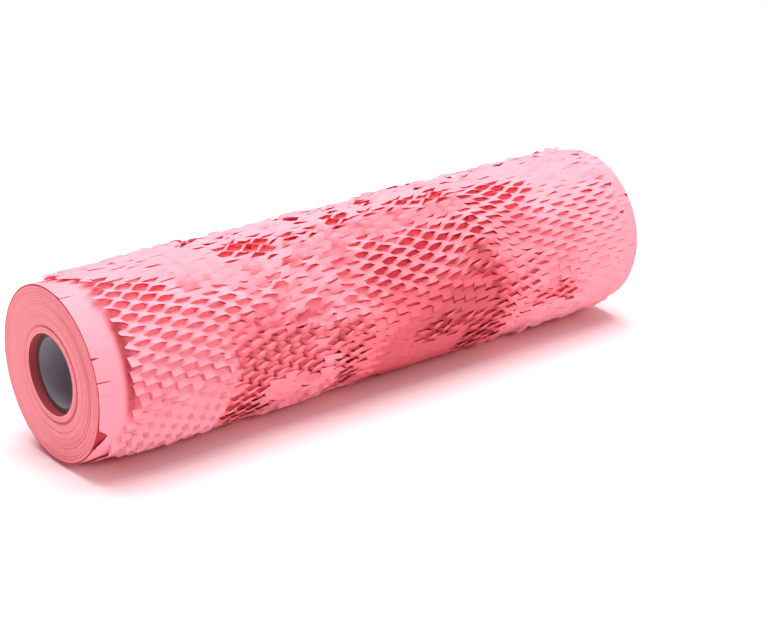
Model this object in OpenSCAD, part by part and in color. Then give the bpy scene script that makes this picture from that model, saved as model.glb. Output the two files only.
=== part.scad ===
// Roll of slit paper wound on a paperboard core. Pulling the web opens its slits into a
// honeycomb, as the loose outer turn shows. The roll lies on its side: its axis runs along X,
// its foremost end is at -X, and the small flat spot that it rests on is at Z = 0.

/* [Core tube] */
// Bore of the core tube, the standard inch and a half
core_bore_d = 38.1; // [25:0.1:50]
// Wall of the core tube
core_wall = 2.9; // [1.5:0.1:5]
// How deep each end of the core tube sits below the end face of the paper
core_inset = 4.5; // [0:0.5:12]

/* [Tight turns] */
// Width of the paper web before it is stretched, which is the length of the roll
web_w = 381; // [250:1:415]
// Diameter of the tightly wound turns
roll_d = 95.8; // [80:0.2:106]
// Clearance between the core tube and the first turn
core_fit = 0.1; // [0:0.05:0.5]
// Radial distance between the turns that stand out on the end faces
turn_step = 2.4; // [1.5:0.1:6]
// How far one group of turns stands proud of its neighbour at most
turn_relief = 0.7; // [0.2:0.1:1.5]
// Depth of the groove beside the innermost turns
first_groove = 1.4; // [0.5:0.1:3]

/* [Slit pattern] */
// Length of one slit
slit_l = 12.7; // [11.2:0.1:16]
// Paper bridge between two slits of a row
bridge_l = 4.76; // [3.2:0.1:8]
// Distance between neighbouring rows of slits before stretching
row_gap = 3.175; // [2.9:0.025:6]

/* [Stretched outer turn] */
// How many times longer the outer turn is than before it was pulled
stretch = 1.12; // [1.06:0.01:1.3]
// Lean of the paper strips between the slits where the honeycomb is fully open
lean = 30; // [12:1:45]
// Space between the tight turns and the inner edges of the leaning strips
seat_gap = 0.3; // [0.15:0.05:1]
// How far the loose turn bulges off the roll in places
puff = 0.6; // [0:0.1:1.5]
// Slack of the loose turn at the underside
sag = 1.5; // [1:0.1:2.5]
// How far the free end of the outer turn stands off the turn below it
tail_step = 0.6; // [0:0.1:1.5]
// Thickness of the loose turn where the weight of the roll presses it flat
pressed_t = 2.2; // [1:0.1:2.6]

/* [Edges of the outer turn] */
// Tight paper left bare at the foremost end
bare_near = 17; // [12:1:30]
// Tight paper left bare at the foremost end along the top, where the outer turn runs out
bare_top = 6; // [5:1:12]
// Tight paper left bare at the far end
bare_far = 12; // [9:1:30]
// How far the edges of the outer turn wander in and out
wander = 2.4; // [0:0.2:4]
// How far the ends of the cut strips stick out at both edges
tooth = 1.6; // [0:0.1:3]

/* [Hidden] */
$fn = 96;

core_l = web_w - 2 * core_inset;
core_r = core_bore_d / 2 + core_wall;
hole_r = core_r + core_fit;
roll_r = roll_d / 2;
// The loose turn holds the tight ones off the surface that the roll lies on
axis_h = roll_r + pressed_t;

// The turns that stand out on an end face, as rings of equal width
rings = max(4, round((roll_r - hole_r) / turn_step));
ring_w = (roll_r - hole_r) / rings;

// The opened honeycomb. Its slits lie along the axis, in rows that are staggered by half a pitch
turn_r = roll_r + seat_gap + row_gap * sin(lean);
pairs = round(PI * turn_r / (row_gap * stretch));
row_a = 180 / pairs;
cells = floor(web_w / (slit_l + bridge_l));
last = 2 * cells;

// Angles run from the front of the roll over its top. The tail is the free end of the outer turn
tail_a = 232;
top_a = 96;
top_spread = 13;
// How far the inner face of the loose turn reaches into the tight turns
bury = 1;
// Depth of the foot of a lip below the strips around it
foot_depth = 0.05;

// A number from 0 to 1 that looks random and is the same each time
function scatter(i, seed) = let (s = sin(i * 127.1 + seed * 311.7) * 43758.5) s - floor(s);

// Depth of one ring of an end face. The first ring and one of the outer ones stand out furthest
function ring_depth(i, seed) =
    i == 0 || i == rings - 2 ? 0 :
    i == 1 ? first_groove :
    turn_relief * (0.25 + 0.75 * scatter(i, seed));

// Half section of one end face from the hole outwards, as radius and distance from mid-length
function end_profile(seed) = [
    for (i = [0 : rings - 1], edge = [0, 1])
        [hole_r + (i + edge) * ring_w, web_w / 2 - ring_depth(i, seed)]
];

// A point by its place along the axis, its angle round it and its distance from it
function around(x, a, r) = [x, -r * cos(a), axis_h + r * sin(a)];

// Paper left bare at both ends, and the wandering edges of the outer turn
function run_out(a) = exp(-pow((a - top_a) / top_spread, 2));
function near_bare(a) =
    bare_top + (bare_near - bare_top + wander * sin(a * 3 + 40) * cos(a * 2)) * (1 - run_out(a));
function far_bare(a) = bare_far + wander * sin(a * 4 + 100) * cos(a * 5);

// Place of column j along the axis. Strip ends stick out by a tooth at the two edges
function column_x(j, a, out = 0) =
    let (near = near_bare(a) - web_w / 2, far = web_w / 2 - far_bare(a))
    near + (far - near) * j / last + (j == 0 ? -out : j == last ? out : 0);

// How far the honeycomb is open, from nearly shut to fully open. It is pulled flatter on the top
// and pressed flatter on the underside than at the front and back
function openness(x, a) =
    let (wave = sin(a * 3 + x * 1.3) + sin(a * 2 - x * 2.1 + 70) + 0.7 * sin(a * 5 + x * 3.1 + 200))
    min(1, max(0.25, 0.65 - 0.25 * pow(sin(a), 2) + 0.2 * wave));

// Radius at which the inner edges of the strips lie
function seat_r(x, a) =
    let (
        bulge = 0.5 + 0.25 * (sin(a * 4 + x * 1.7 + 30) + sin(a * 3 - x * 2.6)),
        slack = pow((1 - sin(a)) / 2, 4),
        turned = ((a - tail_a + 720) % 360) / 360
    )
    roll_r + seat_gap + puff * bulge + sag * slack + tail_step * (1 - turned);

// Nothing reaches below the flat spot
function resting(r, a) = min(r, axis_h / max(0.01, -sin(a)));

// Cell k of column j is centred on a bridge, and the strips beside it lean with the openness there
function bridge_a(j, k) = (2 * k + j % 2) * row_a;
function lean_at(j, k) = let (a = bridge_a(j, k)) lean * openness(column_x(j, a), a);
function strip_a(j, k) = row_gap * cos(lean_at(j, k)) / turn_r * 180 / PI;

// The lip of a cell stands out, its low edge lies on the turn below, and its foot is below the next lip
function lip(j, k) =
    let (a = bridge_a(j, k) - strip_a(j, k), x = column_x(j, a))
    around(column_x(j, a, tooth), a, resting(seat_r(x, a) + 2 * row_gap * sin(lean_at(j, k)), a));
function low(j, k) =
    let (a = bridge_a(j, k) + strip_a(j, k), x = column_x(j, a))
    around(x, a, resting(seat_r(x, a), a));
function foot(j, k) =
    let (a = bridge_a(j, k + 1) - strip_a(j, k + 1), x = column_x(j, a))
    around(x, a, resting(seat_r(x, a), a) - foot_depth);

module core_tube() {
    color("#8f857c")
    translate([-core_l / 2, 0, axis_h])
    rotate([0, 90, 0])
    difference() {
        cylinder(h = core_l, r = core_r);
        translate([0, 0, -core_l / 2]) cylinder(h = 2 * core_l, d = core_bore_d);
    }
}

// The tightly wound turns, with the uneven edges of the turns on both end faces
module tight_turns() {
    near = end_profile(1);
    far = end_profile(2);
    outline = concat(
        [for (p = near) [p[0], -p[1]]],
        [for (i = [len(far) - 1 : -1 : 0]) far[i]]
    );
    translate([0, 0, axis_h])
    rotate([0, 90, 0])
    rotate_extrude() polygon(outline);
}

// The stretched outer turn as one closed skin, whose inner face is buried in the tight turns
module honeycomb_turn() {
    outer = [for (j = [0 : last], k = [0 : pairs - 1]) each [lip(j, k), low(j, k), foot(j, k)]];
    inner = [
        for (j = [0, last], k = [0 : pairs - 1])
            let (a = bridge_a(j, k)) around(column_x(j, a), a, roll_r - bury)
    ];
    // Numbers of the points of a cell, place 0 being its lip, and of the two inner rings
    function at(j, k, place) = 3 * (j * pairs + (k + pairs) % pairs) + place;
    function inside(end, k) = len(outer) + end * pairs + k % pairs;
    // Between two columns, each lip is joined to the lips of the staggered cells beside it
    skin = [
        for (j = [0 : last - 1], k = [0 : pairs - 1])
            let (
                lip_0 = at(j, k, 0),
                low_0 = at(j, k, 1),
                foot_0 = at(j, k, 2),
                lip_1 = at(j, k + 1, 0),
                side = k + j % 2,
                low_a = at(j + 1, side - 1, 1),
                foot_a = at(j + 1, side - 1, 2),
                lip_b = at(j + 1, side, 0),
                low_b = at(j + 1, side, 1)
            )
            each [
                [lip_0, foot_a, low_a], [lip_0, lip_b, foot_a], [lip_0, low_0, lip_b],
                [lip_b, low_0, foot_0], [lip_b, foot_0, lip_1], [lip_b, lip_1, low_b]
            ]
    ];
    // One edge of the turn, closed down to its inner ring
    function edge_face(end) = [
        for (k = [0 : pairs - 1])
            let (
                lip_0 = at(end * last, k, 0),
                low_0 = at(end * last, k, 1),
                foot_0 = at(end * last, k, 2),
                lip_1 = at(end * last, k + 1, 0),
                in_0 = inside(end, k),
                in_1 = inside(end, k + 1)
            )
            each [[lip_0, in_0, low_0], [low_0, in_0, foot_0], [foot_0, in_0, in_1], [foot_0, in_1, lip_1]]
    ];
    function turned_round(faces) = [for (f = faces) [f[0], f[2], f[1]]];
    buried = [
        for (k = [0 : pairs - 1])
            let (
                near_0 = inside(0, k),
                near_1 = inside(0, k + 1),
                far_0 = inside(1, k),
                far_1 = inside(1, k + 1)
            )
            each [[near_0, far_1, near_1], [near_0, far_0, far_1]]
    ];
    polyhedron(
        concat(outer, inner),
        concat(skin, edge_face(0), turned_round(edge_face(1)), buried),
        convexity = 6
    );
}

module paper_roll() {
    color("#f3a3ad")
    union() {
        tight_turns();
        honeycomb_turn();
    }
}

core_tube();
paper_roll();
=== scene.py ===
"""A roll of slit pink wrapping paper on a paperboard core, lying on its side."""
import math

import bpy
import numpy as np
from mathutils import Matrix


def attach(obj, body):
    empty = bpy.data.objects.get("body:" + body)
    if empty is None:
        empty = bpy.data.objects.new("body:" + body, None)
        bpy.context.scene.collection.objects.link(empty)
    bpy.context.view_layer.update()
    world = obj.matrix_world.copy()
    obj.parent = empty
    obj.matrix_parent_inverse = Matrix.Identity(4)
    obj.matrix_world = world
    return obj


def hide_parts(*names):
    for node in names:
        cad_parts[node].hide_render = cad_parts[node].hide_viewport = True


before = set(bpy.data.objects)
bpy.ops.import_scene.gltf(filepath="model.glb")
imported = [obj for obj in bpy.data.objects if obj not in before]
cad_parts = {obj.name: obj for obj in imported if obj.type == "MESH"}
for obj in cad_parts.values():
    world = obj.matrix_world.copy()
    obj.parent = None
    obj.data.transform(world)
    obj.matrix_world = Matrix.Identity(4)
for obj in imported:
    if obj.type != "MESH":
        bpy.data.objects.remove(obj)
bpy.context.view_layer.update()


# Table and light
# The roll lies on a white studio table that runs on to a white backdrop. The light is a wide soft
# panel overhead, a weaker one in front of the end face, and what the white room throws back.
camera_place = (-0.6446, -0.8339, 0.4501)
camera_dip = 21.65
camera_heading = 51.01
bpy.ops.object.camera_add(
    location=camera_place,
    rotation=(math.radians(90 - camera_dip), 0, math.radians(camera_heading - 90)),
)
camera = bpy.context.object
camera.data.lens = 92.53
camera.data.clip_end = 50
bpy.context.scene.camera = camera
bpy.context.scene.view_settings.view_transform = "Standard"


def lamp(name, place, aim, size, power):
    bpy.ops.object.light_add(type="AREA", location=place)
    panel = bpy.context.object
    panel.name = name
    panel.data.shape = "DISK"
    panel.data.size = size
    panel.data.energy = power
    way = (aim[0] - place[0], aim[1] - place[1], aim[2] - place[2])
    flat = math.hypot(way[0], way[1])
    panel.rotation_euler = (math.atan2(flat, -way[2]), 0, math.atan2(way[1], way[0]) - math.pi / 2)


lamp("overhead_panel", (0.05, 0.2, 1.4), (0, 0, 0.05), 1.7, 36.5)
lamp("front_panel", (0.15, -1.5, 0.85), (0, 0, 0.05), 0.7, 11)


class Socket:
    """An output of a node. Sums written with it add Math nodes."""

    def __init__(self, finish, output):
        self.finish = finish
        self.output = output

    def __add__(self, other):
        return self.finish.math("ADD", self, other)

    def __sub__(self, other):
        return self.finish.math("SUBTRACT", self, other)

    def __rsub__(self, other):
        return self.finish.math("SUBTRACT", other, self)

    def __mul__(self, other):
        return self.finish.math("MULTIPLY", self, other)

    def __truediv__(self, other):
        return self.finish.math("DIVIDE", self, other)

    def __abs__(self):
        return self.finish.math("ABSOLUTE", self)


class Finish:
    """A material, or the world's, with its nodes laid by one method."""

    def __init__(self, name, owner=None):
        self.material = owner or bpy.data.materials.new(name)
        self.material.use_nodes = True
        self.tree = self.material.node_tree
        self.tree.nodes.clear()

    def node(self, kind, settings=None, *inputs, out=0, **named):
        made = self.tree.nodes.new(kind)
        for key, value in (settings or {}).items():
            setattr(made, key, value)
        pairs = list(enumerate(inputs))
        pairs += [(key.replace("_", " "), value) for key, value in named.items()]
        for key, value in pairs:
            if isinstance(value, Socket):
                self.tree.links.new(value.output, made.inputs[key])
            elif value is not None:
                made.inputs[key].default_value = value
        return Socket(self, made.outputs[out])

    def math(self, operation, *terms):
        return self.node("ShaderNodeMath", {"operation": operation}, *terms)

    def place(self):
        return self.node("ShaderNodeTexCoord", out="Object")

    def shown(self):
        """1 where the surface is looked at, straight or in a mirror, and 0 where it only throws light."""
        seen = self.node("ShaderNodeLightPath", out="Is Camera Ray")
        path = seen.output.node
        mirrored = Socket(self, path.outputs["Is Glossy Ray"])
        through = Socket(self, path.outputs["Is Transmission Ray"])
        return self.math("MINIMUM", seen + mirrored + through, 1.0)

    def split(self, vector):
        made = self.node("ShaderNodeSeparateXYZ", None, vector).output.node
        return tuple(Socket(self, made.outputs[axis]) for axis in range(3))

    def noise(self, vector, scale, detail, rough):
        return self.node("ShaderNodeTexNoise", None,
                         Vector=vector, Scale=scale, Detail=detail, Roughness=rough)

    def ramp(self, value, start, end, low=0.0, high=1.0):
        """Goes from low to high while the value goes from start to end, and no further."""
        return self.node("ShaderNodeMapRange", None, value, start, end, low, high)

    def blend(self, share, first, second):
        """The first colour where the share is 0, and the second where it is 1."""
        unused = [None] * 5
        return self.node("ShaderNodeMix", {"data_type": "RGBA"}, share, *unused, first, second, out=2)

    def bump(self, height, distance, strength):
        return self.node("ShaderNodeBump", None, Height=height, Distance=distance, Strength=strength)

    def surface(self, shader):
        self.lead_out("ShaderNodeOutputMaterial", shader)
        return self.material

    def lead_out(self, kind, shader):
        made = self.tree.nodes.new(kind)
        self.tree.links.new(shader.output, made.inputs["Surface"])


# The room is white to look at, and throws a weaker light that all the pink paper has warmed
if bpy.context.scene.world is None:
    bpy.context.scene.world = bpy.data.worlds.new("room")
room = Finish("room", bpy.context.scene.world)
shown = room.shown()
room_strength = 0.42
level = shown * (1 - room_strength) + room_strength
tint = room.blend(shown, (1, 0.57, 0.61, 1), (1, 1, 1, 1))
glow = room.node("ShaderNodeBackground", None, Color=tint, Strength=level)
room.lead_out("ShaderNodeOutputWorld", glow)

bpy.ops.mesh.primitive_plane_add(size=9)
table = bpy.context.object
table.name = "table_top"
cloth = Finish("white_table")
x, y, z = cloth.split(cloth.place())
# Painted light: close to the roll the table takes on the paper's pink as painted bounce light, and right
# beside the roll a deep red painted contact shadow
near = cloth.ramp(abs(x), 0.17, 0.22, 1, 0) * cloth.ramp(abs(y), 0.05, 0.18, 1, 0)
painted_contact_shadow = cloth.ramp(abs(x), 0.165, 0.19, 1, 0) * cloth.ramp(abs(y), 0.014, 0.040, 0.9, 0)
tone = cloth.blend(near, (0.88, 0.88, 0.88, 1), (0.93, 0.80, 0.82, 1))
tone = cloth.blend(painted_contact_shadow, tone, (0.93, 0.30, 0.33, 1))
lit = cloth.node("ShaderNodeBsdfDiffuse", None, Color=tone)
glow = cloth.node("ShaderNodeEmission", None, Color=(1, 1, 1, 1), Strength=1.0)
# Far from the roll the table runs into the white backdrop
away = cloth.node("ShaderNodeVectorMath", {"operation": "LENGTH"}, cloth.place(), out=1)
away = cloth.ramp(away, 0.4, 0.9) * cloth.shown()
table.data.materials.append(cloth.surface(cloth.node("ShaderNodeMixShader", None, away, lit, glow)))


# Core tube
# A spiral-wound paperboard tube that the paper is wound on. Its bore has a smooth grey liner, and its
# cut ends show the brown board, painted darker as the shade of the recess they sit in.
mm = 0.001
web = 381.0
axis_z = 50.1
core_r = 21.95
core_inset = 4.5
lap_length = 75.0

board = Finish("grey_paperboard")
where = board.place()
x, y, z = board.split(where)
angle = board.math("ARCTAN2", z - axis_z * mm, y)
lap = board.math("FRACT", x / (lap_length * mm) + angle / (2 * math.pi))
seam = board.math("LESS_THAN", lap, 0.012)
at_end = board.math("GREATER_THAN", abs(x), (web / 2 - core_inset - 0.05) * mm)
fibre = board.noise(where, 900, 4, 0.6)
liner = board.blend(fibre, (0.31, 0.32, 0.39, 1), (0.41, 0.42, 0.49, 1))
liner = board.blend(seam * 0.6, liner, (0.10, 0.095, 0.11, 1))
# Painted shade: the cut ends are painted a darker brown than the board, for the shade in their recess
cut = board.blend(fibre, (0.065, 0.033, 0.028, 1), (0.12, 0.066, 0.055, 1))
tone = board.blend(at_end, liner, cut)
paperboard = board.surface(board.node(
    "ShaderNodeBsdfPrincipled", None,
    Base_Color=tone, Roughness=0.62, Normal=board.bump(fibre + seam * 0.8, 0.00012, 0.6),
))
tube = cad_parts["core_tube"]
for holder in tube.material_slots:
    holder.material = paperboard


# Tight turns
# The paper is wound hard, several hundred turns of it. Each turn runs a hair further in or out than
# the next, which draws the fine rings on the end faces. The first turns form a raised ring.
roll_r = 47.6
hole_r = core_r + 0.1
groove_out = 3.9
ring_relief = 0.6
rings = 100
around = 240
profile = 2 * rings + 3


def flat_grid(name, wide, high):
    bpy.ops.object.select_all(action="DESELECT")
    bpy.ops.mesh.primitive_grid_add(x_subdivisions=wide, y_subdivisions=high, size=1)
    piece = bpy.context.object
    piece.name = name
    return piece


def counted(mesh, wide, high):
    """The column and the row of each point of a flat grid."""
    spots = np.empty(len(mesh.vertices) * 3)
    mesh.vertices.foreach_get("co", spots)
    spots = spots.reshape(-1, 3)
    return np.rint((spots[:, 0] + 0.5) * wide).astype(int), np.rint((spots[:, 1] + 0.5) * high).astype(int)


def put(piece, settled):
    piece.data.vertices.foreach_set("co", (settled * mm).ravel())
    piece.data.update()


def on_roll(x, angle, radius):
    """A point by its place from the foremost end, its angle from the front over the top, and its radius."""
    turn = np.radians(angle)
    return np.stack([x - web / 2, -radius * np.cos(turn), axis_z + radius * np.sin(turn)], -1)


def wound(column, row):
    """The section goes out over the foremost end face, along the roll and back in over the far one."""
    angle = row * 360 / around
    far = column > rings + 1
    step = np.where(far, profile - column, column)
    ring = np.clip(step - 1, 0, rings)
    out = (roll_r - hole_r) * ring / rings
    # Slow waves from turn to turn
    turn = out / 0.9 - angle / 360
    seed = np.where(far, 31.7, 0)
    depth = 0.10 + 0.09 * np.sin(turn * 2.3 + seed) * np.sin(turn * 0.71 + 1)
    depth = depth + 0.05 * np.sin(turn * 5.1 + seed)
    # Two grooves beside the first turns, the outer one deeper towards the front
    towards = 0.5 + 0.5 * np.cos(np.radians(angle + 5))
    depth = depth + 0.35 * np.exp(-((out - 1.7) / 0.3) ** 2)
    depth = depth + (0.4 + 0.7 * towards) * np.exp(-((out - groove_out) / 0.4) ** 2)
    # Towards the front the outer turns are wound looser, and some stand back as fine arcs
    loose = np.clip(np.cos(np.radians(angle + 12)) + 0.1, 0, 1) * np.clip((out - 9) / 8, 0, 1)
    arcs = np.clip(np.sin(out * 4.4 + 0.9 * np.sin(out * 0.9)), 0, 1) ** 2
    depth = depth + (0.12 + 0.7 * loose) * arcs * (out > 5)
    depth = np.maximum(0.02, depth) * (ring < rings) + 0.12 * (ring == rings)
    # The first and last columns go into the hole, behind the ends of the core tube
    depth = np.where(step == 0, 12.0, depth)
    return on_roll(np.where(far, web - depth, depth), angle, hole_r + out)


tight = flat_grid("tight_turns", profile, around)
put(tight, wound(*counted(tight.data, profile, around)))
bpy.ops.object.mode_set(mode="EDIT")
bpy.ops.mesh.select_all(action="SELECT")
bpy.ops.mesh.remove_doubles(threshold=0.00001)
bpy.ops.mesh.normals_make_consistent(inside=False)
bpy.ops.object.mode_set(mode="OBJECT")
bpy.ops.object.shade_smooth_by_angle(angle=math.radians(50))


def matt_paper(paper, tone, height, distance, through=0):
    """Uncoated paper of a tone, with the relief of a height. A single sheet lets some light through."""
    sheet = paper.node(
        "ShaderNodeBsdfPrincipled", None,
        Base_Color=tone, Roughness=0.78, Specular_IOR_Level=0.2, Normal=paper.bump(height, distance, 0.5),
    )
    if through:
        behind = paper.node("ShaderNodeBsdfTranslucent", None, Color=(0.98, 0.22, 0.27, 1))
        sheet = paper.node("ShaderNodeMixShader", None, through, sheet, behind)
    return paper.surface(sheet)


ends = Finish("pink_paper_edges")
where = ends.place()
x, y, z = ends.split(where)
high = z - axis_z * mm
radius = ends.math("SQRT", y * y + high * high)
turn = ends.node("ShaderNodeCombineXYZ", None, radius, 0.0, 0.0)
ringed = ends.noise(turn, 1100, 5, 0.7)
share = ringed * 0.85 + ends.noise(where, 45, 3, 0.55) * 0.15
tone = ends.blend(ends.ramp(share, 0.38, 0.62), (0.91, 0.295, 0.33, 1), (0.97, 0.385, 0.425, 1))
# Painted shade: turns that stand back get darker painted lines, stronger on one side of the hole
one_side = ends.ramp(y, 0.03, -0.02, 0.25, 1)
painted_ring_lines = ends.ramp(ends.noise(turn, 620, 2, 0.5), 0.40, 0.46, 0.7, 0)
tone = ends.blend(painted_ring_lines * one_side, tone, (0.66, 0.12, 0.15, 1))
# From the hole outwards, all painted light: painted shade on the hole's wall, a painted highlight on the
# first ring, painted shade in a groove, and painted shade at the edge of the last turn
out = radius / mm
painted_hole_shade = ends.ramp(out, hole_r + 0.05, hole_r + 0.35, 1, 0)
tone = ends.blend(painted_hole_shade, tone, (0.44, 0.08, 0.10, 1))
# Painted highlight on the raised first ring
painted_ring_highlight = ends.ramp(out, hole_r + 0.35, hole_r + 1.55, 0.6, 0)
painted_ring_highlight = painted_ring_highlight * ends.ramp(out, hole_r + 0.15, hole_r + 0.35)
tone = ends.blend(painted_ring_highlight, tone, (1.0, 0.52, 0.55, 1))
# Painted shade in the groove
painted_groove_shade = ends.ramp(abs(out - (hole_r + groove_out)), 0.3, 0.8, 0.8, 0)
tone = ends.blend(painted_groove_shade * one_side, tone, (0.55, 0.09, 0.12, 1))
# Painted shade at the edge of the last turn
painted_edge_shade = ends.ramp(out, roll_r - 0.5, roll_r - 0.2)
tone = ends.blend(painted_edge_shade, tone, (0.42, 0.035, 0.05, 1))
tight.data.materials.append(matt_paper(ends, tone, ringed, ring_relief * mm))
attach(tight, "root")
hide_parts("paper_roll")


# Turn below
# The last turn that still lies tight, bare at the foremost end and seen through the holes elsewhere.
# The web is cut with rows of short slits along the roll, each row staggered by half a pitch, and
# here they are all but shut. Where the loose turn covers it, the paper is painted a deeper red as painted
# shade.
slit = 12.7
bridge = 4.76
row = 3.175
pitch = slit + bridge
paper_wall = 0.12
tooth = 0.18
below_r = roll_r + 0.35
below_inset = 2.6

# Places along half a pitch where a strip has points, and how far a strip has come from the tile below
# it to the tile above at each of the ten places of a pitch, with a soft or with a crisp fold
arm = pitch / 2 - bridge
offsets = np.array([0, bridge / 2, bridge / 2 + arm / 3, bridge / 2 + 2 * arm / 3, bridge / 2 + arm])
soft_rise = np.array([0, 0, 0.27, 0.73, 1, 1, 1, 0.73, 0.27, 0])
crisp_rise = np.array([0, 0, 0.06, 0.94, 1, 1, 1, 0.94, 0.06, 0])


def ripple(seed, size, x, y, count=7):
    """Soft random waves over a flat place, about -1 to 1, with humps about a size across."""
    draw = np.random.default_rng(seed)
    total = 0
    for _ in range(count):
        way = draw.uniform(0, math.tau)
        pace = math.pi / size * draw.uniform(0.6, 1.4)
        total = total + np.sin((x * math.cos(way) + y * math.sin(way)) * pace + draw.uniform(0, math.tau))
    return total / math.sqrt(count / 2) * 0.6


def cut_slits(name, wide, strips):
    """A flat grid of strips with the slits between them cut open.

    Gives the piece and each of its points' place along the roll, strip, and edge: 1 for the upper one.
    """
    piece = flat_grid(name, wide, strips)
    mesh = piece.data
    column, line = counted(mesh, wide, strips)
    sample = column - 1
    pairs = np.empty(len(mesh.edges) * 2, int)
    mesh.edges.foreach_get("vertices", pairs)
    start, end = pairs.reshape(-1, 2).T
    along = line[start] == line[end]
    left = np.minimum(sample[start], sample[end])
    level = line[start]
    place = (left - 5 * (level % 2)) % 10
    cut = along & (level > 0) & (level < strips) & (place >= 1) & (place <= 8)
    bpy.ops.object.mode_set(mode="EDIT")
    bpy.ops.mesh.select_mode(type="EDGE")
    bpy.ops.mesh.select_all(action="DESELECT")
    bpy.ops.object.mode_set(mode="OBJECT")
    mesh.edges.foreach_set("select", cut)
    bpy.ops.object.mode_set(mode="EDIT")
    bpy.ops.mesh.edge_split(type="EDGE")
    bpy.ops.object.mode_set(mode="OBJECT")

    # A point's faces tell which strip it belongs to
    column, line = counted(mesh, wide, strips)
    corners = np.empty(len(mesh.loops), int)
    mesh.loops.foreach_get("vertex_index", corners)
    middles = np.empty(len(mesh.polygons) * 3)
    mesh.polygons.foreach_get("center", middles)
    middles = np.repeat((middles.reshape(-1, 3)[:, 1] + 0.5) * strips, 4)
    total = np.zeros(len(mesh.vertices))
    count = np.zeros(len(mesh.vertices))
    np.add.at(total, corners, middles)
    np.add.at(count, corners, 1)
    above = total / count > line - 0.01
    return piece, column - 1, np.where(above, line, line - 1), 1 - above.astype(int)


def tile_places(columns, strips, first, sweep, edges, lay):
    """Where the middles of the tiles lie once the stretch is shared out round the roll."""
    grid_j, grid_i = np.meshgrid(np.arange(columns + 1), np.arange(strips + 1))
    angle = first + sweep * grid_i / strips
    for _ in range(4):
        near, far = edges(angle)
        stretch = lay(near + (far - near) * grid_j / columns, angle)[1]
        step = (stretch[1:] + stretch[:-1]) / 2
        reached = np.concatenate([np.zeros((1, columns + 1)), np.cumsum(step, 0)])
        angle = first + sweep * reached / step.sum(0)
        # The paper resists shear, so a row runs almost straight along the roll
        for _ in range(6):
            padded = np.pad(angle, ((0, 0), (1, 1)), mode="edge")
            angle = (padded[:, :-2] + 2 * angle + padded[:, 2:]) / 4
    near, far = edges(angle)
    return near + (far - near) * grid_j / columns, angle, (far - near) / (columns * pitch / 2)


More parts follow.
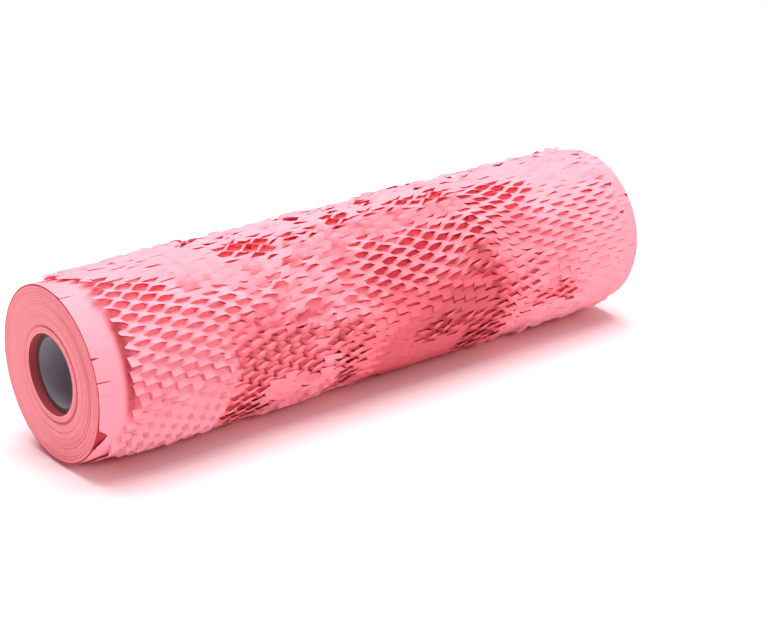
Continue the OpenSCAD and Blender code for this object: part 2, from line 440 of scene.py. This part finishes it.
def slit_sheet(name, columns, strips, first, sweep, edges, lay, frayed=False):
    """Cut a flat sheet, then set each tile between four slits, and draw the strips from tile to tile.

    edges gives where the foremost and far edges lie at an angle. lay gives how the paper lies at a
    place: the tilt of its tiles, positive with the lower edge outwards, its stretch, its lift off the
    axis, its unrest, the rock of its tiles along the roll, how crisp its folds are, and how deep its
    painted shade is. A frayed sheet has torn tiles at both edges.
    """
    piece, sample, strip, upper = cut_slits(name, 5 * columns + 2, strips)
    x, angle, scale = tile_places(columns, strips, first, sweep, edges, lay)
    tilt, _, lift, unrest, rock, crisp, painted_shade_depth = lay(x, angle)
    draw = np.random.default_rng(len(name) + columns)
    shape = tilt.shape
    tilt = tilt + unrest * draw.normal(0, 5.0, shape)
    tilt = tilt + 24 * np.clip((unrest - 2) / 1.4, 0, 1) * (draw.random(shape) < 0.25)
    lift = lift + unrest * draw.normal(0, 0.16, shape)
    skew = unrest * draw.normal(0, 2.0, shape) - rock * 0.2 + 12 * np.clip(-tilt / 20, 0, 1)
    rock = unrest * draw.normal(0, 3.2, shape) + rock
    # Painted shade: restless tiles get a random extra depth of painted shade, for tiles turned from the
    # light
    painted_shade_depth = painted_shade_depth + 0.2 * np.clip(unrest - 1, 0, 2.5) * abs(draw.normal(0, 1, shape))

    def tile(i, j, off, v):
        """A point of tile i, j that is off from its middle along the roll and v from it round the roll."""
        i = np.clip(i, 0, strips)
        j_in = np.clip(j, 0, columns)
        off = off + (j - j_in) * pitch / 2
        lean = np.radians(tilt[i, j_in])
        around_it = v * np.cos(lean) + off * np.tan(np.radians(skew[i, j_in]))
        out = lift[i, j_in] - v * np.sin(lean) + off * np.tan(np.radians(rock[i, j_in]))
        # Strips that lean the other way are also crowned across their width
        dome = (1.15 - (v / row) ** 2) * (1 - (off / 6.5) ** 2)
        out = out + 1.2 * np.clip(-tilt[i, j_in] / 20, 0, 1) * dome
        return (
            x[i, j_in] + off * scale[i, j_in],
            angle[i, j_in] + np.degrees(around_it / lift[i, j_in]),
            out,
        )

    half, part = np.divmod(sample, 5)
    flat_x = half * pitch / 2 + offsets[part]
    parity = strip % 2
    # Column of the tile below, which has the strip's parity, and of the tile above
    low_j = 2 * np.rint((sample / 5 - parity) / 2).astype(int) + parity
    high_j = 2 * np.rint((sample / 5 - 1 + parity) / 2).astype(int) + 1 - parity
    step = (sample - 5 * parity) % 10
    fold = crisp[np.clip(strip, 0, strips), np.clip(low_j, 0, columns)]
    rise = soft_rise[step] + fold * (crisp_rise[step] - soft_rise[step])
    trim = np.ones(len(sample))
    reach = np.zeros(len(sample))
    if frayed:
        # Tiles that are cut through at the edges run out to points. At the front they end bluntly, and
        # some low ones are torn into long tabs
        last = 5 * columns + 1
        pair = strip + strip % 2
        blunt = np.where((pair > 18) & (pair < 37), 0.9, 0)
        point = np.maximum(draw.uniform(0.05, 0.5, strips + 2)[pair], blunt)
        stub = draw.uniform(0.2, 2.4, strips + 2)[pair] * (1 - 0.8 * blunt)
        stub = stub + np.where((pair > 16) & (pair < 25), draw.uniform(-1, 5, strips + 2)[pair], 0)
        end = np.minimum(sample + 1, last - sample)
        trim = np.where(end == 0, point, np.where(end == 1, (1 + point) / 2, 1))
        reach = np.where(end == 0, stub, 0) * np.where(sample < 5, -1, 1)
    low = tile(strip, low_j, flat_x - low_j * pitch / 2 + reach, upper * row * trim)
    high = tile(strip + 1, high_j, flat_x - high_j * pitch / 2 + reach, -(1 - upper) * row * trim)
    blended = [a * (1 - rise) + b * rise for a, b in zip(low, high)]
    # Painted shade: where the paper leans back, each tile, which bulges, is painted deeper low and to the
    # right
    leant = np.clip(-tilt[np.clip(strip, 0, strips), np.clip(low_j, 0, columns)] / 20, 0, 1)
    lower_edge = np.array([0.2, 0, 0, 0.1, 0.2, 0.5, 1.0, 1.3, 1.2, 0.6])[step]
    upper_edge = np.array([-0.8, -0.6, -0.3, 0, 0.1, 0.2, 0.6, 0.9, 0.4, -0.3])[step]
    depth = painted_shade_depth[np.clip(strip, 0, strips), np.clip(low_j, 0, columns)]
    depth = depth * (1 + leant * np.where(upper == 1, upper_edge, lower_edge))
    painted_depth_attribute = piece.data.attributes.new("painted_shade_depth", "FLOAT", "POINT")
    painted_depth_attribute.data.foreach_set("value", depth)
    return piece, blended, strip, upper


def clothe(piece, blended, smooth):
    """Put the points in place, nothing below the table, and give the sheet its wall."""
    settled = on_roll(*blended)
    settled[:, 2] = np.maximum(settled[:, 2], paper_wall)
    put(piece, settled)
    bpy.ops.object.select_all(action="DESELECT")
    piece.select_set(True)
    bpy.context.view_layer.objects.active = piece
    bpy.ops.object.mode_set(mode="EDIT")
    bpy.ops.mesh.select_all(action="SELECT")
    bpy.ops.object.mode_set(mode="OBJECT")
    outward = np.empty(len(piece.data.polygons) * 3)
    piece.data.polygons.foreach_get("normal", outward)
    middle = np.empty(len(piece.data.polygons) * 3)
    piece.data.polygons.foreach_get("center", middle)
    middle = middle.reshape(-1, 3) - (0, 0, axis_z * mm)
    if (outward.reshape(-1, 3)[:, 1:] * middle[:, 1:]).sum() < 0:
        bpy.ops.object.mode_set(mode="EDIT")
        bpy.ops.mesh.flip_normals()
        bpy.ops.object.mode_set(mode="OBJECT")
    bpy.ops.object.modifier_add(type="SOLIDIFY")
    wall = piece.modifiers[-1]
    wall.thickness = paper_wall * mm
    wall.offset = -1
    bpy.ops.object.modifier_apply(modifier=wall.name)
    bpy.ops.object.shade_smooth_by_angle(angle=math.radians(smooth))


def cloudy(paper):
    """How light dyed paper is at a place, in soft clouds and short fibres, and its surface's height."""
    where = paper.place()
    fibre = paper.noise(where, 1500, 3, 0.6)
    share = paper.noise(where, 45, 3, 0.55) * 0.7 + fibre * 0.3
    height = fibre * 0.35 + paper.noise(where, 260, 3, 0.5) * 0.65
    return paper.ramp(share, 0.3, 0.7), height


def under_edges(angle):
    return below_inset + 0 * angle, web - below_inset + 0 * angle


def under_lay(x, angle):
    arc = angle * 0.84
    covered = np.clip((x - 17) / 12, 0, 1)
    tilt = 1.3 * ripple(4, 26, x, arc) + covered * 8 * ripple(5, 34, x, arc)
    lift = below_r + 0.10 * ripple(6, 60, x, arc)
    # A few slits gape at the bare foremost end
    for at_x, at_a, gape in [(5, 76, 8), (9, 68, 7), (4, 10, 10), (3, 27, 14)]:
        near = np.exp(-((x - at_x) / 4) ** 2 - ((angle - at_a) / 2) ** 2)
        tilt = tilt + gape * near
        lift = lift + gape * 0.03 * near
    return tilt, 1 + 0 * x, lift, 0.05 + 0.4 * covered, -4 * covered, 0 * x, 0 * x


under, spots, strip, upper = slit_sheet("under_turn", 43, 95, -128, 360, under_edges, under_lay)
# Its foremost edge is torn: one slit low at the front stands wide open, and three others a little
x, angle, radius = spots
mouth = 27
mouth_length = 6.4
rows_off = np.where(strip >= mouth, strip - mouth, mouth - 1 - strip)
near = np.clip(1 - x / mouth_length, 0, 1) ** 0.7 * np.exp(-rows_off / 3.5)
angle = angle + np.where(strip >= mouth, 7.5, -6.0) * near
radius = radius + np.where(strip >= mouth, 1.0, 1.8) * near * np.exp(-rows_off / 2)
for cut, x_to, gape in [(37, 9, 0.55), (41, 4, 0.9), (59, 9, 0.3)]:
    open_here = np.clip(1 - x / x_to, 0, 1) ** 0.5 * gape
    angle = angle + np.where(strip + upper == cut, (1 - 2 * upper) * open_here, 0)
clothe(under, (x, angle, radius), 35)

below = Finish("pink_paper_below")
share, height = cloudy(below)
x, y, z = below.split(below.place())
along = x / mm + web / 2
high = z / mm
tone = below.blend(share, (0.93, 0.29, 0.355, 1), (0.95, 0.34, 0.41, 1))
# Painted shade: where the loose turn covers it, the paper is painted redder than the bare band, for the
# shade and the red light bounced under the net, most of all on the far half, on top and low down
flap = below.ramp(high, 84, 90) * below.ramp(along, 25, 45, 1, 0)
hidden = below.ramp(along, 14, 20) * (1 - flap) * below.ramp(along, 360, 369, 1, 0)
far_half = below.ramp(along, 150, 175, 0.5, 1)
on_top = below.ramp(high, 82, 90, 0, 0.5) * below.ramp(along, 25, 50) + 0.5
painted_red_share = below.math("MAXIMUM", far_half, on_top)
painted_red_share = below.math("MAXIMUM", painted_red_share, below.ramp(high, 34, 25, 0.5, 1))
painted_red_tone = below.blend(share, (0.88, 0.12, 0.15, 1), (0.95, 0.18, 0.22, 1))
# Painted shade: the deepest red, in the holes on the middle of the far half
painted_deepest_red = below.ramp(along, 165, 185) * below.ramp(along, 265, 285, 1, 0)
painted_deepest_red = painted_deepest_red * below.ramp(high, 92, 80) * below.ramp(high, 30, 45)
painted_red_tone = below.blend(painted_deepest_red, painted_red_tone, (0.60, 0.055, 0.08, 1))
tone = below.blend(hidden * painted_red_share, tone, painted_red_tone)
# Painted shadow: a dark line under the foremost edge of the loose turn
shade = below.ramp(along, 14.5, 17.5, 0, 0.85) * below.ramp(along, 20, 25, 1, 0)
shade = shade * below.ramp(high, 92, 82) * below.ramp(high, 34, 42)
tone = below.blend(shade, tone, (0.40, 0.055, 0.07, 1))
under.data.materials.append(matt_paper(below, tone, height, tooth * mm))
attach(under, "root")
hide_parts("paper_roll")


# Loose turn
# The outer turn was pulled, which opened its slits into a honeycomb: each slit became a lens, and the
# strips between them lean. It lies loosely round the roll, torn at both edges, and its free end is low
# at the back. Handling left patches that lean one way or the other, or lie almost shut.
loose_r = below_r + 1.8
bare_top = 6
bare_front = 17.5
bare_far = 12

# Each patch: from and to along the roll in mm, from and to round it in degrees, tilt, stretch, unrest,
# how far it is sunk, and how deep its painted shade is. Later patches lie over earlier ones
patches = [
    (98, 150, 16, 50, 14, 1.08, 3.8, 0.2, 0.0),
    (128, 172, 15, 79, 4, 1.07, 3.2, 0, 0.1),
    (58, 130, 47, 64, -9, 1.04, 2.0, 0, 0.05),
    (10, 60, 6, 70, 31, 1.17, 0.7, 0, 0),
    (48, 94, 2, 46, 31, 1.15, 0.7, 0, 0.1),
    (10, 84, -48, 8, 40, 1.13, 0.8, 0, 0),
    (-20, 400, 81, 126, -6, 1.01, 1.6, 0, 0),
    (-5, 90, 72, 100, -6, 0.99, 0.6, 0, 0.12),
    (56, 96, 62, 80, -6, 1.00, 1.0, 0, 0.15),
    (14, 34, 60, 77, 28, 1.15, 0.7, 0, 0),
    (185, 270, 84, 100, -6, 1.01, 1.8, 0, 0),
    (300, 390, 52, 100, -7, 1.01, 1.4, 0, 0),
    (101, 128, 66, 81, 35, 1.22, 0.7, 0, 0),
    (84, 96, 92, 99, 33, 1.20, 1.0, 0, 0),
    (152, 161, 84, 99, 26, 1.14, 1.2, 0, 0),
    (203, 212, 88, 99, 26, 1.12, 1.2, 0, 0),
    (172, 188, 66, 84, 33, 1.22, 0.8, 0, 0),
    (84, 120, -24, 11, -23, 1.06, 0.5, 0.8, 0.9),
    (106, 138, -22, 11, -23, 1.06, 0.5, 0.8, 0.9),
    (82, 107, -56, -26, -20, 1.18, 0.7, 0.2, 0.6),
    (146, 175, -26, 5, -17, 1.25, 1.6, 0.2, 0.7),
    (86, 107, 8, 28, -18, 1.06, 1.0, 0.5, 0.7),
    (112, 152, -64, -23, 16, 1.03, 2.0, -0.5, 0.3),
    (156, 174, -54, -30, -20, 1.20, 0.9, 0.6, 1.5),
    (300, 400, -60, 50, 10, 1.04, 1.2, 0, 0.05),
    (178, 264, 12, 54, 35, 1.22, 1.4, 0.1, 0.4),
    (182, 232, -4, 14, 18, 1.32, 1.4, 0.2, 0.85),
    (245, 268, 10, 32, -12, 1.05, 2.2, 0.3, 1.3),
    (233, 268, -12, 10, 8, 1.42, 1.2, 0.3, 1.1),
    (174, 246, -60, -4, 8, 1.0, 0.6, 0.4, 0.6),
    (246, 282, -52, -13, -14, 1.36, 0.9, 0.3, 0.8),
    (172, 268, 57, 73, -11, 1.03, 1.6, 0.2, 0.6),
    (139, 158, 53, 68, -11, 1.03, 1.6, 0.2, 0.4),
    (222, 262, 73, 82, 29, 1.14, 1.1, 0, 0.1),
    (286, 312, 60, 71, 32, 1.18, 0.8, 0, 0.05),
    (266, 300, 12, 50, 12, 1.05, 1.4, 0, 0.55),
    (268, 300, -12, 18, -14, 1.03, 1.4, 0.2, 0.25),
    (280, 300, -60, -16, 8, 1.03, 1.0, 0, 0.4),
    (303, 332, -12, 38, 20, 1.10, 1.1, 0, 0.25),
    (294, 332, -27, -13, -15, 1.12, 1.3, 0.3, 0.6),
    (212, 243, -25, -12, -14, 1.20, 1.6, 0.3, 1.4),
]


def loose_edges(angle):
    """On top the sheet runs out nearly to the foremost end, and low at the front it is torn back."""
    run_out = np.exp(-((angle - 102) / 12) ** 2)
    low = np.clip((-18 - angle) / 40, 0, 1)
    dent = 6.5 * np.exp(-((angle + 5) / 9) ** 2)
    bare = bare_front - 8 * low + dent + 1.6 * ripple(11, 24, angle * 0.84, 0 * angle)
    near = bare_top + (bare - bare_top) * (1 - run_out)
    far = web - bare_far + 2.4 * ripple(12, 24, angle * 0.84, 0 * angle)
    return near + bridge / 2, far - bridge / 2


def loose_lay(x, angle):
    arc = angle * 0.87
    side = ripple(21, 34, x, arc)
    tilt = 30 * np.clip(0.45 + 1.5 * side, -1, 1)
    stretch = 1.12 + 0.07 * ripple(22, 30, x, arc)
    unrest = 1.0 + 0.3 * ripple(23, 25, x, arc)
    sink = 0 * x
    painted_shade_depth = 0 * x
    # The waves above are for the back and the underside. The front is drawn evenly before its patches
    front = 1 / (1 + np.exp(-(angle + 60) / 6)) / (1 + np.exp((angle - 122) / 6))
    tilt = tilt * (1 - front) + front * 24
    stretch = stretch * (1 - front) + front * 1.10
    warp_x = x + 2.5 * ripple(24, 22, x, arc)
    warp_a = angle + 2.2 * ripple(25, 20, x, arc)
    for x_0, x_1, a_0, a_1, lean, pull, fuss, drop, patch_shade in patches:
        reach_x = abs(warp_x - (x_0 + x_1) / 2) / ((x_1 - x_0) / 2 + 1.5)
        reach_a = abs(warp_a - (a_0 + a_1) / 2) / ((a_1 - a_0) / 2 + 1.5)
        near = (reach_x ** 4 + reach_a ** 4) ** 0.25
        share = np.clip((1.16 - near) / 0.32, 0, 1)
        share = share * share * (3 - 2 * share)
        tilt = tilt + share * (lean - tilt)
        stretch = stretch + share * (pull - stretch)
        unrest = unrest + share * (fuss - unrest)
        sink = sink + share * (drop - sink)
        painted_shade_depth = painted_shade_depth + share * (patch_shade - painted_shade_depth)
    # Painted shade: low on the far half, towards the underside, the paper is painted deeper
    painted_underside_shade = np.clip((12 + 22 * np.clip((x - 180) / 50, 0, 1) - angle) / 30, 0, 1.1)
    painted_shade_depth = np.maximum(painted_shade_depth, 1.3 * painted_underside_shade * np.clip((x - 168) / 14, 0, 1) * np.clip((286 - x) / 18, 0, 1))
    # It stands off in soft humps, most on top, sags under the roll, and lifts at its free end
    puff = 0.5 * ripple(26, 34, x, arc) + 0.28 * ripple(27, 14, x, arc)
    atop = np.clip((angle - 73) / 16, 0, 1) * np.clip((352 - x) / 20, 0, 1)
    puff = puff + atop * (0.4 * ripple(28, 7, x, arc) + 1.0 * np.clip(ripple(29, 20, x, arc), 0, 1))
    sag = 1.2 * ((1 - np.sin(np.radians(angle))) / 2) ** 4
    end = np.clip((angle - 205) / 25, 0, 1)
    start = np.clip((-98 - angle) / 30, 0, 1)
    lift = loose_r + puff + sag - sink + 3.0 * end * end * (3 - 2 * end) - 1.2 * start
    # Its foremost edge curls up at the front and hugs the roll below
    raised = np.clip((angle + 10) / 20, 0, 1) * (1 - 0.45 * np.clip((angle - 78) / 10, 0, 1))
    lift = lift + (3.6 * raised - 1.5) * np.exp(-np.maximum(x - 16, 0) / 6)
    crisp = np.clip((14 - angle) / 24, 0, 1) * np.clip(tilt / 12, 0, 1)
    rock = -np.where(tilt > 0, 0.32 - 0.14 * crisp, 0.3) * abs(tilt)
    return tilt, stretch, lift, unrest, rock, crisp, painted_shade_depth


net, spots, _, _ = slit_sheet(
    "honeycomb_turn", 42, 91, -128, 372, loose_edges, loose_lay, frayed=True)
clothe(net, spots, 45)

skin = Finish("pink_paper")
share, height = cloudy(skin)
tone = skin.blend(share, (0.94, 0.37, 0.445, 1), (0.96, 0.44, 0.52, 1))
# The attribute paints the shade in: deeper red, then dark brown-red where it is heaviest
painted_shade_depth = skin.node("ShaderNodeAttribute", {"attribute_name": "painted_shade_depth"}, out="Fac")
tone = skin.blend(skin.ramp(painted_shade_depth, 0, 1), tone, (0.86, 0.18, 0.225, 1))
tone = skin.blend(skin.ramp(painted_shade_depth, 1, 2), tone, (0.44, 0.06, 0.085, 1))
net.data.materials.append(matt_paper(skin, tone, height, tooth * mm, through=0.17))
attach(net, "root")
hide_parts("paper_roll")
